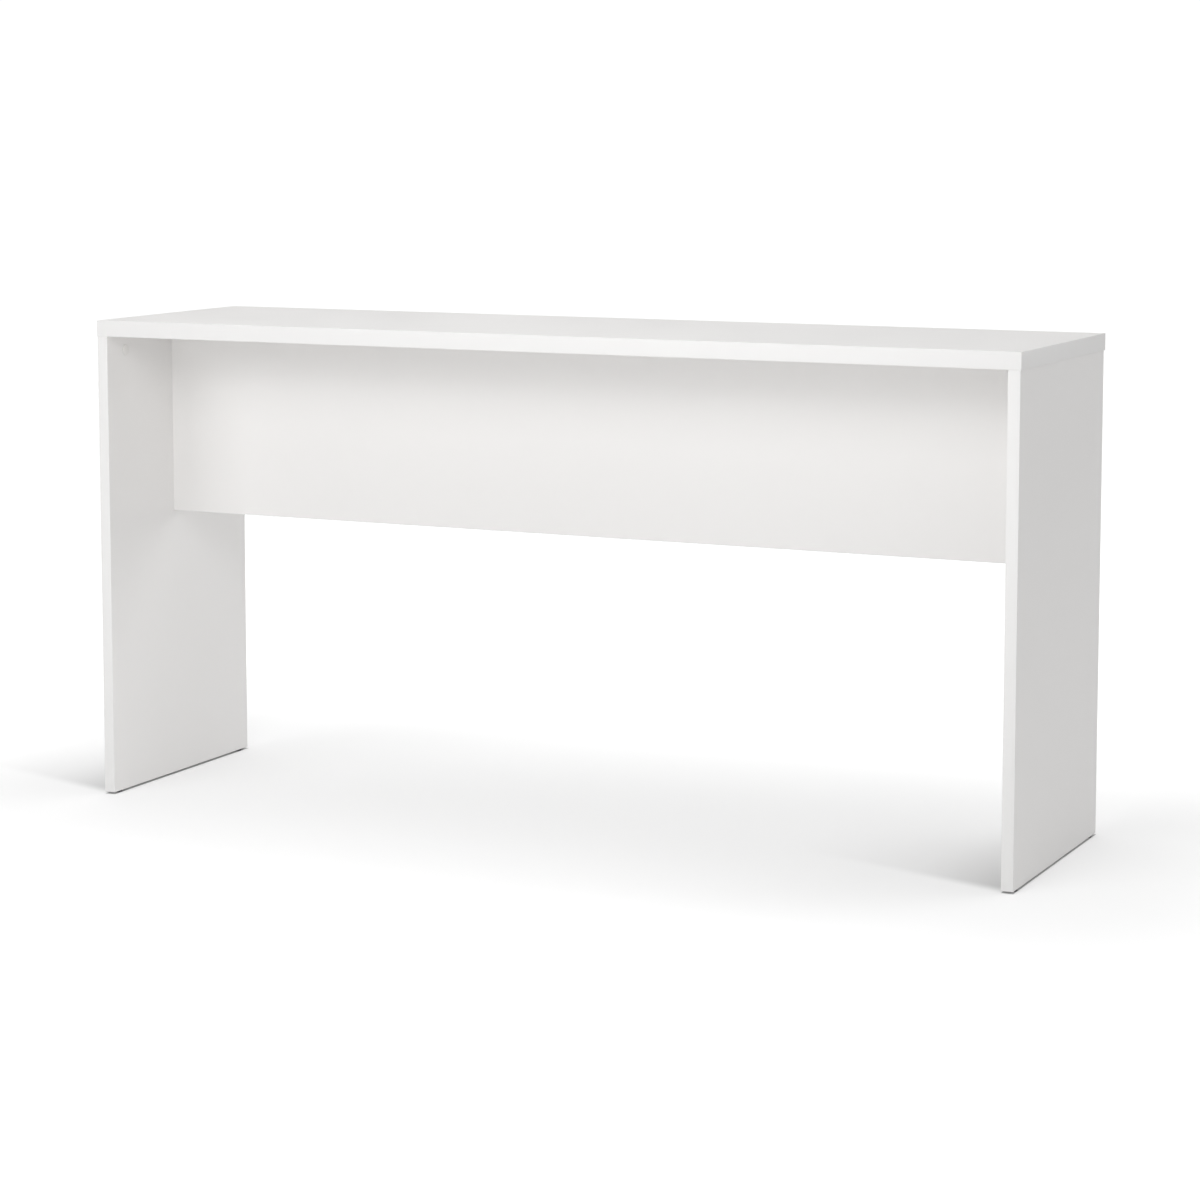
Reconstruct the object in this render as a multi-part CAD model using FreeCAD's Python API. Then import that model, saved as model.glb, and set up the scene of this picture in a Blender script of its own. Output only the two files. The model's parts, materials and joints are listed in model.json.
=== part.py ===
"""Console table: a top board resting on two side boards, with a modesty board hung between them.

Millimetres. X runs along the length, Y from front (-Y) to back (+Y), Z up from the floor.
The origin is on the floor, at the centre of the footprint.
"""

import FreeCAD, Part
from FreeCAD import Vector
import math
import os

# Driving dimensions of the whole table
LENGTH = 1500.0
DEPTH = 400.0
HEIGHT = 750.0

# Boards and their edge bands
TOP_THICKNESS = 25.0
BOARD_THICKNESS = 18.0
BAND_THICKNESS = 1.0
BAND_ROUNDING = 0.5
END_REVEAL = 1.0
BACK_REVEAL = 4.0
MODESTY_HEIGHT = 293.0
MODESTY_SETBACK = 182.0

# Cam fittings: a lock in a bore of one board pulls on a bolt screwed into the other
CAM_BORE_RADIUS = 7.5
CAM_BORE_DEPTH = 13.8
CAM_RADIUS = 7.4
CAM_SINK = 0.3
CAM_LENGTH = 13.1
CAM_BACKSET = 24.0
CAVITY_RADIUS = 5.2
CAVITY_OFFSET = 0.5
CAVITY_HEIGHT = 7.0
NECK_SLOT_HEIGHT = 4.6
NECK_SLOT_MARGIN = 35.0
CAM_TURN = 180.0
DRIVE_LENGTH = 9.0
DRIVE_WIDTH = 1.7
DRIVE_DEPTH = 2.6
CAM_CHAMFER = 0.4

BOLT_HEAD_RADIUS = 3.2
BOLT_HEAD_REACH = 4.5
BOLT_NECK_RADIUS = 2.0
BOLT_NECK_END = 8.2
BOLT_SHAFT_RADIUS = 3.5
BOLT_HOLE_RADIUS = 4.0
THREAD_RADIUS = 2.45
THREAD_ROOT_RADIUS = 1.95
THREAD_PITCH = 1.75
THREAD_TURNS = 5
PILOT_RADIUS = 2.5
PILOT_DEPTH = 11.0

# Cover caps, pressed into the drive recess of each cam lock
CAP_RADIUS = 8.75
CAP_THICKNESS = 1.1
CAP_GAP = 0.1
CAP_ROUNDING = 0.5
CAP_PEG_PLAY = 0.3

# Where the fittings sit
SIDE_CAM_INSET = 50.0
SIDE_DOWEL_STEP = 32.0
MODESTY_CAM_INSET = 60.0
MODESTY_TOP_CAM_SPACING = 350.0

# Wooden dowels
DOWEL_RADIUS = 3.95
DOWEL_HOLE_RADIUS = 4.0
DOWEL_LENGTH = 30.0
DOWEL_IN_FACE = 10.0
DOWEL_CHAMFER = 1.0
DOWEL_END_PLAY = 1.0

# Nail-on glides
GLIDE_HEIGHT = 3.0
GLIDE_RADIUS = 8.0
GLIDE_CHAMFER = 0.8
GLIDE_INSET = 20.0
NAIL_RADIUS = 1.0
NAIL_HEAD_RADIUS = 3.0
NAIL_HEAD_THICKNESS = 0.9
NAIL_HEAD_HEIGHT = 1.2
NAIL_LENGTH = 16.0
NAIL_TIP = 2.0
NAIL_PLAY = 0.05

# Worked out from the driving dimensions
FRONT = -DEPTH / 2
BACK = DEPTH / 2
TOP_UNDERSIDE = HEIGHT - TOP_THICKNESS
SIDE_OUTER = LENGTH / 2 - END_REVEAL
SIDE_INNER = SIDE_OUTER - BOARD_THICKNESS
SIDE_MIDDLE = SIDE_OUTER - BOARD_THICKNESS / 2
SIDE_BACK = BACK - BACK_REVEAL
MODESTY_FRONT = FRONT + MODESTY_SETBACK
MODESTY_BACK = MODESTY_FRONT + BOARD_THICKNESS
MODESTY_MIDDLE = MODESTY_FRONT + BOARD_THICKNESS / 2
MODESTY_BOTTOM = TOP_UNDERSIDE - MODESTY_HEIGHT
BOLT_DEPTH = BOARD_THICKNESS / 2

X_AXIS = Vector(1, 0, 0)
Y_AXIS = Vector(0, 1, 0)
Z_AXIS = Vector(0, 0, 1)
SIDES = (("left", -1), ("right", 1))


def block(x, y, z):
    """A box between two values on each axis."""
    corner = Vector(min(x), min(y), min(z))
    return Part.makeBox(abs(x[1] - x[0]), abs(y[1] - y[0]), abs(z[1] - z[0]), corner)


def cylinder(radius, start, direction, length):
    """A round bar from a start point along a direction."""
    return Part.makeCylinder(radius, length, start, direction)


def turned(outline, axis_start, axis):
    """A solid of revolution from the edges of a closed outline."""
    return Part.Face(Part.Wire(outline)).revolve(axis_start, axis, 360)


def straight_edges(points):
    """Straight edges from each point to the next."""
    return [Part.LineSegment(*pair).toShape() for pair in zip(points, points[1:])]


def band(x, y, z, outward):
    """An edge band: a thin strip whose outer face has trimmed, rounded edges."""
    strip = block(x, y, z)
    outer = max(strip.Faces, key=lambda face: face.CenterOfMass.dot(outward))
    return strip.makeFillet(BAND_ROUNDING, outer.Edges)


class Fitting:
    """One cam lock, its bolt and its cap.

    In its own frame the lock turns about Z, the board's face is at Z = 0 with Z pointing out of
    it, and the bolt lies along X, towards the board that it is screwed into.
    """

    def __init__(self, name, face_point, outward, towards):
        self.name = name
        self.axis = outward
        self.point = face_point
        across = outward.cross(towards)
        turn = FreeCAD.Rotation(towards, across, outward, "ZXY")
        self.placement = FreeCAD.Placement(face_point, turn)

    def place(self, shape):
        """A shape drawn in the fitting's frame, moved to where the fitting is."""
        moved = shape.copy()
        moved.Placement = self.placement.multiply(shape.Placement)
        return moved

    def lock(self):
        return self.place(cam_lock())

    def cap(self):
        return self.place(cover_cap())

    def bolt(self):
        return self.place(cam_bolt())

    def host_cuts(self):
        """The lock's bore and the bolt's hole, in the board that holds the lock."""
        bore = cylinder(CAM_BORE_RADIUS, Vector(0, 0, -CAM_BORE_DEPTH), Z_AXIS, CAM_BORE_DEPTH)
        hole = cylinder(BOLT_HOLE_RADIUS, Vector(0, 0, -BOLT_DEPTH), X_AXIS, CAM_BACKSET)
        return [self.place(bore), self.place(hole)]

    def mate_cuts(self):
        """The pilot hole, in the board that holds the bolt."""
        start = Vector(CAM_BACKSET, 0, -BOLT_DEPTH)
        return [self.place(cylinder(PILOT_RADIUS, start, X_AXIS, PILOT_DEPTH))]


def drive_cross(length, width, bottom, top):
    """The cross of the drive recess, or of the peg that fills it."""
    half_length, half_width = length / 2, width / 2
    along = block((-half_length, half_length), (-half_width, half_width), (bottom, top))
    across = block((-half_width, half_width), (-half_length, half_length), (bottom, top))
    return along.fuse(across)


def cam_lock():
    """A turning lock: its off-centre cavity draws the bolt's head in, and its slot passes the neck."""
    foot = -CAM_SINK - CAM_LENGTH
    body = cylinder(CAM_RADIUS, Vector(0, 0, foot), Z_AXIS, CAM_LENGTH)
    rims = [edge for edge in body.Edges if isinstance(edge.Curve, Part.Circle)]
    body = body.makeChamfer(CAM_CHAMFER, rims)
    cavity_foot = Vector(-CAVITY_OFFSET, 0, -BOLT_DEPTH - CAVITY_HEIGHT / 2)
    cavity = cylinder(CAVITY_RADIUS, cavity_foot, Z_AXIS, CAVITY_HEIGHT)
    slot_foot = Vector(0, 0, -BOLT_DEPTH - NECK_SLOT_HEIGHT / 2)
    slot_angle = CAM_TURN + 2 * NECK_SLOT_MARGIN
    slot = Part.makeCylinder(CAM_RADIUS + 1, NECK_SLOT_HEIGHT, slot_foot, Z_AXIS, slot_angle)
    slot.rotate(Vector(), Z_AXIS, NECK_SLOT_MARGIN - slot_angle)
    entry = cylinder(BOLT_HEAD_RADIUS + CAM_SINK, Vector(0, 0, -BOLT_DEPTH), -X_AXIS, CAM_RADIUS + 1)
    recess = drive_cross(DRIVE_LENGTH, DRIVE_WIDTH, -CAM_SINK - DRIVE_DEPTH, 0)
    return body.cut([cavity, slot, entry, recess])


def cover_cap():
    """A thin round cap, held by a cross-shaped peg that is a tight fit across the drive recess."""
    disc = cylinder(CAP_RADIUS, Vector(0, 0, CAP_GAP), Z_AXIS, CAP_THICKNESS)
    rim = max(disc.Edges, key=lambda edge: edge.CenterOfMass.z)
    disc = disc.makeFillet(CAP_ROUNDING, [rim])
    peg_foot = -CAM_SINK - DRIVE_DEPTH + CAP_PEG_PLAY
    peg = drive_cross(DRIVE_LENGTH - CAP_PEG_PLAY, DRIVE_WIDTH, peg_foot, CAP_GAP)
    return disc.fuse(peg)


def cam_bolt():
    """A bolt with a ball head, a thin neck, a plain shaft and a thread shown as ridges."""
    centre = BOLT_HEAD_REACH - BOLT_HEAD_RADIUS
    neck_start = centre + math.sqrt(BOLT_HEAD_RADIUS**2 - BOLT_NECK_RADIUS**2)
    outline = [(neck_start, BOLT_NECK_RADIUS), (BOLT_NECK_END, BOLT_NECK_RADIUS)]
    outline += [(BOLT_NECK_END, BOLT_SHAFT_RADIUS), (CAM_BACKSET, BOLT_SHAFT_RADIUS)]
    for ridge in range(THREAD_TURNS):
        root = CAM_BACKSET + ridge * THREAD_PITCH
        outline += [(root, THREAD_ROOT_RADIUS), (root + THREAD_PITCH / 2, THREAD_RADIUS)]
    tip = CAM_BACKSET + THREAD_TURNS * THREAD_PITCH
    outline += [(tip, THREAD_ROOT_RADIUS), (tip + THREAD_PITCH / 2, 0), (centre - BOLT_HEAD_RADIUS, 0)]
    points = [Vector(x, radius, -BOLT_DEPTH) for x, radius in outline]
    crown = Vector(centre, BOLT_HEAD_RADIUS, -BOLT_DEPTH)
    ball = Part.Arc(points[-1], crown, points[0]).toShape()
    return turned([ball, *straight_edges(points)], Vector(0, 0, -BOLT_DEPTH), X_AXIS)


class Dowel:
    """A wooden dowel across a butt joint: short end in a board's face, long end in an edge."""

    def __init__(self, joint_point, towards_face):
        self.point = joint_point
        self.towards = towards_face

    def along(self, start, radius, length):
        return cylinder(radius, self.point + self.towards * start, self.towards, length)

    def peg(self):
        bar = self.along(DOWEL_IN_FACE - DOWEL_LENGTH, DOWEL_RADIUS, DOWEL_LENGTH)
        rims = [edge for edge in bar.Edges if isinstance(edge.Curve, Part.Circle)]
        return bar.makeChamfer(DOWEL_CHAMFER, rims)

    def face_cut(self):
        return self.along(0, DOWEL_HOLE_RADIUS, DOWEL_IN_FACE + DOWEL_END_PLAY)

    def edge_cut(self):
        depth = DOWEL_LENGTH - DOWEL_IN_FACE + DOWEL_END_PLAY
        return self.along(-depth, DOWEL_HOLE_RADIUS, depth)


def side_fittings(side, sign):
    """The locks that hold a side board up to the top, on the side board's inner face."""
    z = TOP_UNDERSIDE - CAM_BACKSET
    places = (("front", FRONT + SIDE_CAM_INSET), ("rear", SIDE_BACK - SIDE_CAM_INSET))
    return [
        Fitting(f"{side}_{end}", Vector(sign * SIDE_INNER, y, z), X_AXIS * -sign, Z_AXIS)
        for end, y in places
    ]


def modesty_end_fittings(side, sign):
    """The locks that hold the modesty board to a side board, on the modesty board's back."""
    x = sign * (SIDE_INNER - CAM_BACKSET)
    heights = (
        ("upper", TOP_UNDERSIDE - MODESTY_CAM_INSET),
        ("lower", MODESTY_BOTTOM + MODESTY_CAM_INSET),
    )
    return [
        Fitting(f"modesty_{side}_{level}", Vector(x, MODESTY_BACK, z), Y_AXIS, X_AXIS * sign)
        for level, z in heights
    ]


def modesty_top_fittings():
    """The locks that hold the modesty board up to the top, on the modesty board's back."""
    z = TOP_UNDERSIDE - CAM_BACKSET
    return [
        Fitting(f"modesty_top_{place}", Vector(x, MODESTY_BACK, z), Y_AXIS, Z_AXIS)
        for place, x in (
            ("left", -MODESTY_TOP_CAM_SPACING),
            ("middle", 0),
            ("right", MODESTY_TOP_CAM_SPACING),
        )
    ]


def side_dowels(sign):
    """Two dowels between a side board's top edge and the top."""
    inset = SIDE_CAM_INSET + SIDE_DOWEL_STEP
    x = sign * SIDE_MIDDLE
    return [Dowel(Vector(x, y, TOP_UNDERSIDE), Z_AXIS) for y in (FRONT + inset, SIDE_BACK - inset)]


def modesty_end_dowels(sign):
    """One dowel between the modesty board's end and a side board."""
    middle = (TOP_UNDERSIDE + MODESTY_BOTTOM) / 2
    return [Dowel(Vector(sign * SIDE_INNER, MODESTY_MIDDLE, middle), X_AXIS * sign)]


def modesty_top_dowels():
    """Four dowels between the modesty board's top edge and the top, between its locks."""
    half = MODESTY_TOP_CAM_SPACING / 2
    places = [half * step for step in (-3, -1, 1, 3)]
    return [Dowel(Vector(x, MODESTY_MIDDLE, TOP_UNDERSIDE), Z_AXIS) for x in places]


def glide_centre(sign, end):
    """The point on the floor under a glide: end is -1 at the front and 1 at the back."""
    y = FRONT + GLIDE_INSET if end < 0 else SIDE_BACK - GLIDE_INSET
    return Vector(sign * SIDE_MIDDLE, y, 0)


def glide(centre):
    """A hard pad under a side board, moulded round the head of its nail."""
    pad = cylinder(GLIDE_RADIUS, centre, Z_AXIS, GLIDE_HEIGHT)
    rim = min(pad.Edges, key=lambda edge: edge.CenterOfMass.z)
    return pad.makeChamfer(GLIDE_CHAMFER, [rim]).cut(nail(centre))


def nail(centre):
    """The nail of a glide, head down inside the pad and point up in the board."""
    shoulder = NAIL_HEAD_HEIGHT + NAIL_HEAD_THICKNESS
    tip = NAIL_HEAD_HEIGHT + NAIL_LENGTH
    outline = [(0, NAIL_HEAD_HEIGHT), (NAIL_HEAD_RADIUS, NAIL_HEAD_HEIGHT)]
    outline += [(NAIL_HEAD_RADIUS, shoulder), (NAIL_RADIUS, shoulder)]
    outline += [(NAIL_RADIUS, tip - NAIL_TIP), (0, tip), (0, NAIL_HEAD_HEIGHT)]
    points = [centre + Vector(radius, 0, z) for radius, z in outline]
    return turned(straight_edges(points), centre, Z_AXIS)


def nail_cut(centre):
    """The hole that a nail makes in a side board and its bottom band."""
    depth = NAIL_HEAD_HEIGHT + NAIL_LENGTH + NAIL_PLAY
    return cylinder(NAIL_RADIUS + NAIL_PLAY, centre, Z_AXIS, depth)


def top_parts(cuts):
    """The top board and the bands on its four edges."""
    x_core = LENGTH / 2 - BAND_THICKNESS
    y_core = DEPTH / 2 - BAND_THICKNESS
    z = (TOP_UNDERSIDE, HEIGHT)
    parts = {"top_panel": block((-x_core, x_core), (-y_core, y_core), z).cut(cuts)}
    for name, sign in (("front", -1), ("back", 1)):
        y = (sign * y_core, sign * DEPTH / 2)
        parts[f"top_{name}_edge_band"] = band((-LENGTH / 2, LENGTH / 2), y, z, Y_AXIS * sign)
    for name, sign in SIDES:
        x = (sign * x_core, sign * LENGTH / 2)
        parts[f"top_{name}_edge_band"] = band(x, (-y_core, y_core), z, X_AXIS * sign)
    return parts


def side_parts(side, sign, cuts):
    """A side board with bands on its front, back and bottom edges. Its top edge is bare."""
    x = (sign * SIDE_INNER, sign * SIDE_OUTER)
    y_core = (FRONT + BAND_THICKNESS, SIDE_BACK - BAND_THICKNESS)
    foot = GLIDE_HEIGHT
    core = block(x, y_core, (foot + BAND_THICKNESS, TOP_UNDERSIDE))
    front = band(x, (FRONT, y_core[0]), (foot, TOP_UNDERSIDE), -Y_AXIS)
    back = band(x, (y_core[1], SIDE_BACK), (foot, TOP_UNDERSIDE), Y_AXIS)
    bottom = block(x, y_core, (foot, foot + BAND_THICKNESS))
    nail_cuts = [nail_cut(glide_centre(sign, end)) for end in (-1, 1)]
    return {
        f"{side}_side_panel": core.cut(cuts + nail_cuts),
        f"{side}_side_front_edge_band": front,
        f"{side}_side_back_edge_band": back,
        f"{side}_side_bottom_edge_band": bottom.cut(nail_cuts),
    }


def modesty_parts(cuts):
    """The modesty board and the band on its bottom edge."""
    x = (-SIDE_INNER, SIDE_INNER)
    y = (MODESTY_FRONT, MODESTY_BACK)
    core_bottom = MODESTY_BOTTOM + BAND_THICKNESS
    return {
        "modesty_panel": block(x, y, (core_bottom, TOP_UNDERSIDE)).cut(cuts),
        "modesty_bottom_edge_band": band(x, y, (MODESTY_BOTTOM, core_bottom), -Z_AXIS),
    }


def glide_parts():
    """Four glides, and their nails as one group."""
    parts = {}
    nails = []
    for side, sign in SIDES:
        for name, end in (("front", -1), ("rear", 1)):
            centre = glide_centre(sign, end)
            parts[f"{side}_{name}_glide"] = glide(centre)
            nails.append(nail(centre))
    parts["glide_nails"] = Part.makeCompound(nails)
    return parts


def host_cuts(fittings, dowels):
    """What the board that holds the locks has drilled into it."""
    return [cut for fitting in fittings for cut in fitting.host_cuts()] + [
        dowel.edge_cut() for dowel in dowels
    ]


def mate_cuts(fittings, dowels):
    """What the board that holds the bolts has drilled into it."""
    return [cut for fitting in fittings for cut in fitting.mate_cuts()] + [
        dowel.face_cut() for dowel in dowels
    ]


def joints():
    """Each joint between two boards: its name, its cam fittings and its dowels."""
    made = {}
    for side, sign in SIDES:
        made[f"{side}_top_joint"] = (side_fittings(side, sign), side_dowels(sign))
        ends = (modesty_end_fittings(side, sign), modesty_end_dowels(sign))
        made[f"modesty_{side}_joint"] = ends
    made["modesty_top_joint"] = (modesty_top_fittings(), modesty_top_dowels())
    return made


def fastener_parts(made):
    """A lock and a cap for each fitting, and for each joint its bolts and its dowels."""
    parts = {}
    for joint, (fittings, dowels) in made.items():
        for fitting in fittings:
            parts[f"{fitting.name}_cam_lock"] = fitting.lock()
            parts[f"{fitting.name}_cover_cap"] = fitting.cap()
        parts[f"{joint}_bolts"] = Part.makeCompound([fitting.bolt() for fitting in fittings])
        parts[f"{joint}_dowels"] = Part.makeCompound([dowel.peg() for dowel in dowels])
    return parts


def build():
    """Every piece of the table, by node name."""
    made = joints()
    modesty_joints = [made[f"modesty_{place}_joint"] for place in ("left", "right", "top")]
    parts = {}
    to_top = [made["left_top_joint"], made["right_top_joint"], made["modesty_top_joint"]]
    parts.update(top_parts([cut for joint in to_top for cut in mate_cuts(*joint)]))
    for side, sign in SIDES:
        cuts = host_cuts(*made[f"{side}_top_joint"]) + mate_cuts(*made[f"modesty_{side}_joint"])
        parts.update(side_parts(side, sign, cuts))
    parts.update(modesty_parts([cut for joint in modesty_joints for cut in host_cuts(*joint)]))
    parts.update(fastener_parts(made))
    parts.update(glide_parts())
    return parts


def main():
    os.makedirs("parts", exist_ok=True)
    for name, shape in build().items():
        if not shape.isValid():
            raise ValueError(f"{name} is not a valid shape")
        shape.exportStep(f"parts/{name}.step")
        print(f"{name}: {len(shape.Solids)} solids, {shape.Volume / 1000:.2f} cm3")


if __name__ == "__main__":
    main()
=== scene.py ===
"""The looks of a panel-built console table: its finishes, its small pieces, and a studio.

Metres, in the table's own frame: X along the table, Y from front to back, Z up from the floor.
A cam fitting has a frame of its own too. There Z points out of the board's face, with the face at 0,
and X points along the bolt, towards the board that the bolt is screwed into.
"""

import json
import math

import bmesh
import bpy
from bpy.props import FloatProperty, FloatVectorProperty, IntProperty, PointerProperty
from mathutils import Matrix, Vector


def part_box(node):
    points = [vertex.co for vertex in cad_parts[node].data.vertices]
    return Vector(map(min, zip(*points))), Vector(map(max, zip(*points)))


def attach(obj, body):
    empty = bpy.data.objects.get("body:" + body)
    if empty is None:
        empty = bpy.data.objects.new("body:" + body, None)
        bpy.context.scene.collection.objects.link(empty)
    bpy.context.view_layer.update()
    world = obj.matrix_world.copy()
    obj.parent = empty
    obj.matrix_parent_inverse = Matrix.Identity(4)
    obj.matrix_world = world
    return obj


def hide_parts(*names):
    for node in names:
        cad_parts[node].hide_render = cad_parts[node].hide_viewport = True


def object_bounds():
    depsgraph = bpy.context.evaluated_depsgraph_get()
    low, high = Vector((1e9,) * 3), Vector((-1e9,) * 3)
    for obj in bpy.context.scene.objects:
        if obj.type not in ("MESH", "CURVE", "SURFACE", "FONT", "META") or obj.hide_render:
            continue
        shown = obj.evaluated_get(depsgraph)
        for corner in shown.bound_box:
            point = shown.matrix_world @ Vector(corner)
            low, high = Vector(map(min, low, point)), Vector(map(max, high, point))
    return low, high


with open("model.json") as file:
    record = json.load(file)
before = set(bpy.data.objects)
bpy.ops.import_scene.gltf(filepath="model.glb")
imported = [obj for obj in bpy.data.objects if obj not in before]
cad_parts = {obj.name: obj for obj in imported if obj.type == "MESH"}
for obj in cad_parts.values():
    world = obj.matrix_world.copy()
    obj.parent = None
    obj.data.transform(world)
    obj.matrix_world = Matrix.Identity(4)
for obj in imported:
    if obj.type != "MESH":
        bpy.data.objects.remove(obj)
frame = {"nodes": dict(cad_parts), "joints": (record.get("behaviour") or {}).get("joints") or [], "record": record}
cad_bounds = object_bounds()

bl_info = {
    "name": "Console Table",
    "version": (1, 0, 0),
    "blender": (4, 5, 0),
    "location": "3D View > Sidebar > Console Table",
    "description": "Builds the small pieces of a panel-built console table and gives it its finishes",
    "category": "Object",
}

MM = 0.001
CREASE = math.radians(35)
# Points of a turned surface that are closer than this are one
WELD = 0.001 * MM
# Solids of one group of dowels stand further apart than this, and each of them is shorter
DOWEL_SPACING = 50 * MM
# Whole turns of a bolt's thread, and the steps in each turn
THREAD_TURNS = 4
THREAD_STEPS = 16
# Half the floor's width. It reaches past the horizon of every view.
FLOOR_REACH = 60
# Strength of the background that the camera sees, which shows as pure white
BACKDROP_LIGHT = 1.05

IN_PLACE = Matrix.Identity(4)
X_AXIS = Vector((1, 0, 0))
Y_AXIS = Vector((0, 1, 0))
Z_AXIS = Vector((0, 0, 1))

# Each joint between two boards: the locks that draw it tight, and the way their bolts point
LOCKS_OF_JOINT = {
    "left_top_joint": (("left_front", "left_rear"), Z_AXIS),
    "right_top_joint": (("right_front", "right_rear"), Z_AXIS),
    "modesty_top_joint": (("modesty_top_left", "modesty_top_middle", "modesty_top_right"), Z_AXIS),
    "modesty_left_joint": (("modesty_left_upper", "modesty_left_lower"), -X_AXIS),
    "modesty_right_joint": (("modesty_right_upper", "modesty_right_lower"), X_AXIS),
}

# Each edge band's outward side
BAND_SIDES = {
    "top_front_edge_band": -Y_AXIS,
    "top_back_edge_band": Y_AXIS,
    "top_left_edge_band": -X_AXIS,
    "top_right_edge_band": X_AXIS,
    "left_side_front_edge_band": -Y_AXIS,
    "left_side_back_edge_band": Y_AXIS,
    "left_side_bottom_edge_band": -Z_AXIS,
    "right_side_front_edge_band": -Y_AXIS,
    "right_side_back_edge_band": Y_AXIS,
    "right_side_bottom_edge_band": -Z_AXIS,
    "modesty_bottom_edge_band": -Z_AXIS,
}

GLIDES = ("left_front_glide", "left_rear_glide", "right_front_glide", "right_rear_glide")


def colour(name, description, default):
    """A colour that a user can change."""
    return FloatVectorProperty(
        name=name, description=description, subtype="COLOR", size=3, min=0, max=1, default=default
    )


def length(name, description, default):
    """A length that a user can change."""
    return FloatProperty(name=name, description=description, unit="LENGTH", precision=5, default=default)


def share(name, description, default):
    """A share from none to all that a user can change."""
    return FloatProperty(
        name=name, description=description, subtype="FACTOR", min=0, max=1, default=default
    )


def brightness(name, description, default):
    """A strength of light that a user can change."""
    return FloatProperty(name=name, description=description, min=0, default=default)


def slot_colour(slot):
    """The record's colour for a material slot."""
    found = next(m for m in frame["record"]["materials"] if m["slot"] == slot)
    return tuple(found["base_color"][:3])


class BoardSettings(bpy.types.PropertyGroup):
    """The boards and their edge bands."""

    facing: colour("Facing", "Colour of the melamine facing", (0.873, 0.862, 0.851))
    facing_thickness: length("Facing thickness", "Thickness of the facing on each side", 0.3 * MM)
    facing_roughness: share("Facing roughness", "Roughness of the satin facing", 0.42)
    core: colour("Core", "Colour of the particle board between the facings", (0.46, 0.32, 0.19))
    band: colour("Band", "Colour of the edge bands", (0.866, 0.86, 0.852))
    band_rounding: length("Band rounding", "Radius trimmed on a band's outer edges", 0.5 * MM)
    glue_line: length("Glue line", "Width of the fine seam between a band and its board", 0.06 * MM)


class FittingSettings(bpy.types.PropertyGroup):
    """The cover caps, cam locks, bolts and dowels."""

    cap: colour("Cap", "Colour of the cover caps", slot_colour("white_cap"))
    cap_rim: length("Cap rim", "Height of a cap's upright rim", 0.35 * MM)
    cap_notch: length("Cap notch", "Depth of the notch for prising a cap off", 0.55 * MM)
    thread_pitch: length("Thread pitch", "Distance between the turns of a bolt's thread", 1.75 * MM)
    flutes: IntProperty(name="Flutes", description="Grooves round a dowel", min=6, max=60, default=20)
    flute_depth: length("Flute depth", "Depth of a dowel's grooves", 0.25 * MM)
    zinc: colour("Zinc", "Colour of the cast cam locks", slot_colour("zinc_lock"))
    bolt: colour("Bolt steel", "Colour of the plated bolts", slot_colour("bolt_steel"))
    beech: colour("Beech", "Colour of the dowels", slot_colour("beech_dowel"))


class GlideSettings(bpy.types.PropertyGroup):
    """The glides under the side boards, and their nails."""

    plastic: colour("Glide plastic", "Colour of the glides", slot_colour("dark_glide"))
    dish: length("Dish", "Depth of the dish in the middle of a glide's foot", 0.25 * MM)
    nail: colour("Nail steel", "Colour of the nails", slot_colour("nail_steel"))


class StudioSettings(bpy.types.PropertyGroup):
    """The floor, the lights and the camera."""

    floor: share("Floor", "How much light the floor gives back", 0.6)
    floor_glow: brightness("Floor glow", "The floor's own light as the camera sees it, near the table", 0.35)
    backdrop_glow: brightness("Backdrop glow", "The same, far from the table", 0.64)
    bounce_glow: brightness("Bounce glow", "The floor's own light as it falls on the table", 0.067)
    backdrop_start: length("Backdrop start", "Distance from the table where the backdrop starts", 0.12)
    backdrop_end: length("Backdrop end", "Distance from the table where it is at its full glow", 0.9)
    room_light: brightness("Room light", "Even light from all round", 0.111)
    camera_place: FloatVectorProperty(
        name="Camera place",
        description="Where the camera stands",
        subtype="TRANSLATION",
        unit="LENGTH",
        default=(2.046, -4.256, 1.075),
    )
    camera_turn: FloatProperty(
        name="Camera turn",
        description="How far the camera turns to the left of straight along the table's depth",
        unit="ROTATION",
        default=math.radians(25.42),
    )
    camera_dip: FloatProperty(
        name="Camera dip",
        description="How far the camera looks down from level",
        unit="ROTATION",
        default=math.radians(6.2),
    )
    lens: FloatProperty(name="Lens", description="Focal length, in millimetres", default=93.8)
    rise: FloatProperty(name="Shift", description="Vertical shift of the lens", default=-0.125)


class TableSettings(bpy.types.PropertyGroup):
    """All settings of the table."""

    board: PointerProperty(type=BoardSettings)
    fitting: PointerProperty(type=FittingSettings)
    glide: PointerProperty(type=GlideSettings)
    studio: PointerProperty(type=StudioSettings)


# Meshes


def spun(bm, profile, steps):
    """Turns an open profile of (radius, height) points into a surface round Z."""
    verts = [bm.verts.new((radius, 0, height)) for radius, height in profile]
    edges = [bm.edges.new(pair) for pair in zip(verts, verts[1:])]
    bmesh.ops.spin(
        bm,
        geom=verts + edges,
        axis=Z_AXIS,
        cent=(0, 0, 0),
        angle=math.tau,
        steps=steps,
        use_merge=True,
    )
    bmesh.ops.remove_doubles(bm, verts=bm.verts, dist=WELD)


def arc_points(centre, radius, start, end, count):
    """Points of (radius, height) along an arc of a turned profile, from one angle to another."""
    angles = [start + (end - start) * step / count for step in range(count + 1)]
    return [(centre[0] + radius * math.cos(a), centre[1] + radius * math.sin(a)) for a in angles]


def bevel(bm, edges, width, segments):
    """Rounds or chamfers edges."""
    bmesh.ops.bevel(
        bm,
        geom=edges,
        offset=width,
        offset_type="OFFSET",
        affect="EDGES",
        segments=segments,
        profile=0.5,
        material=-1,
        clamp_overlap=True,
    )


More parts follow.
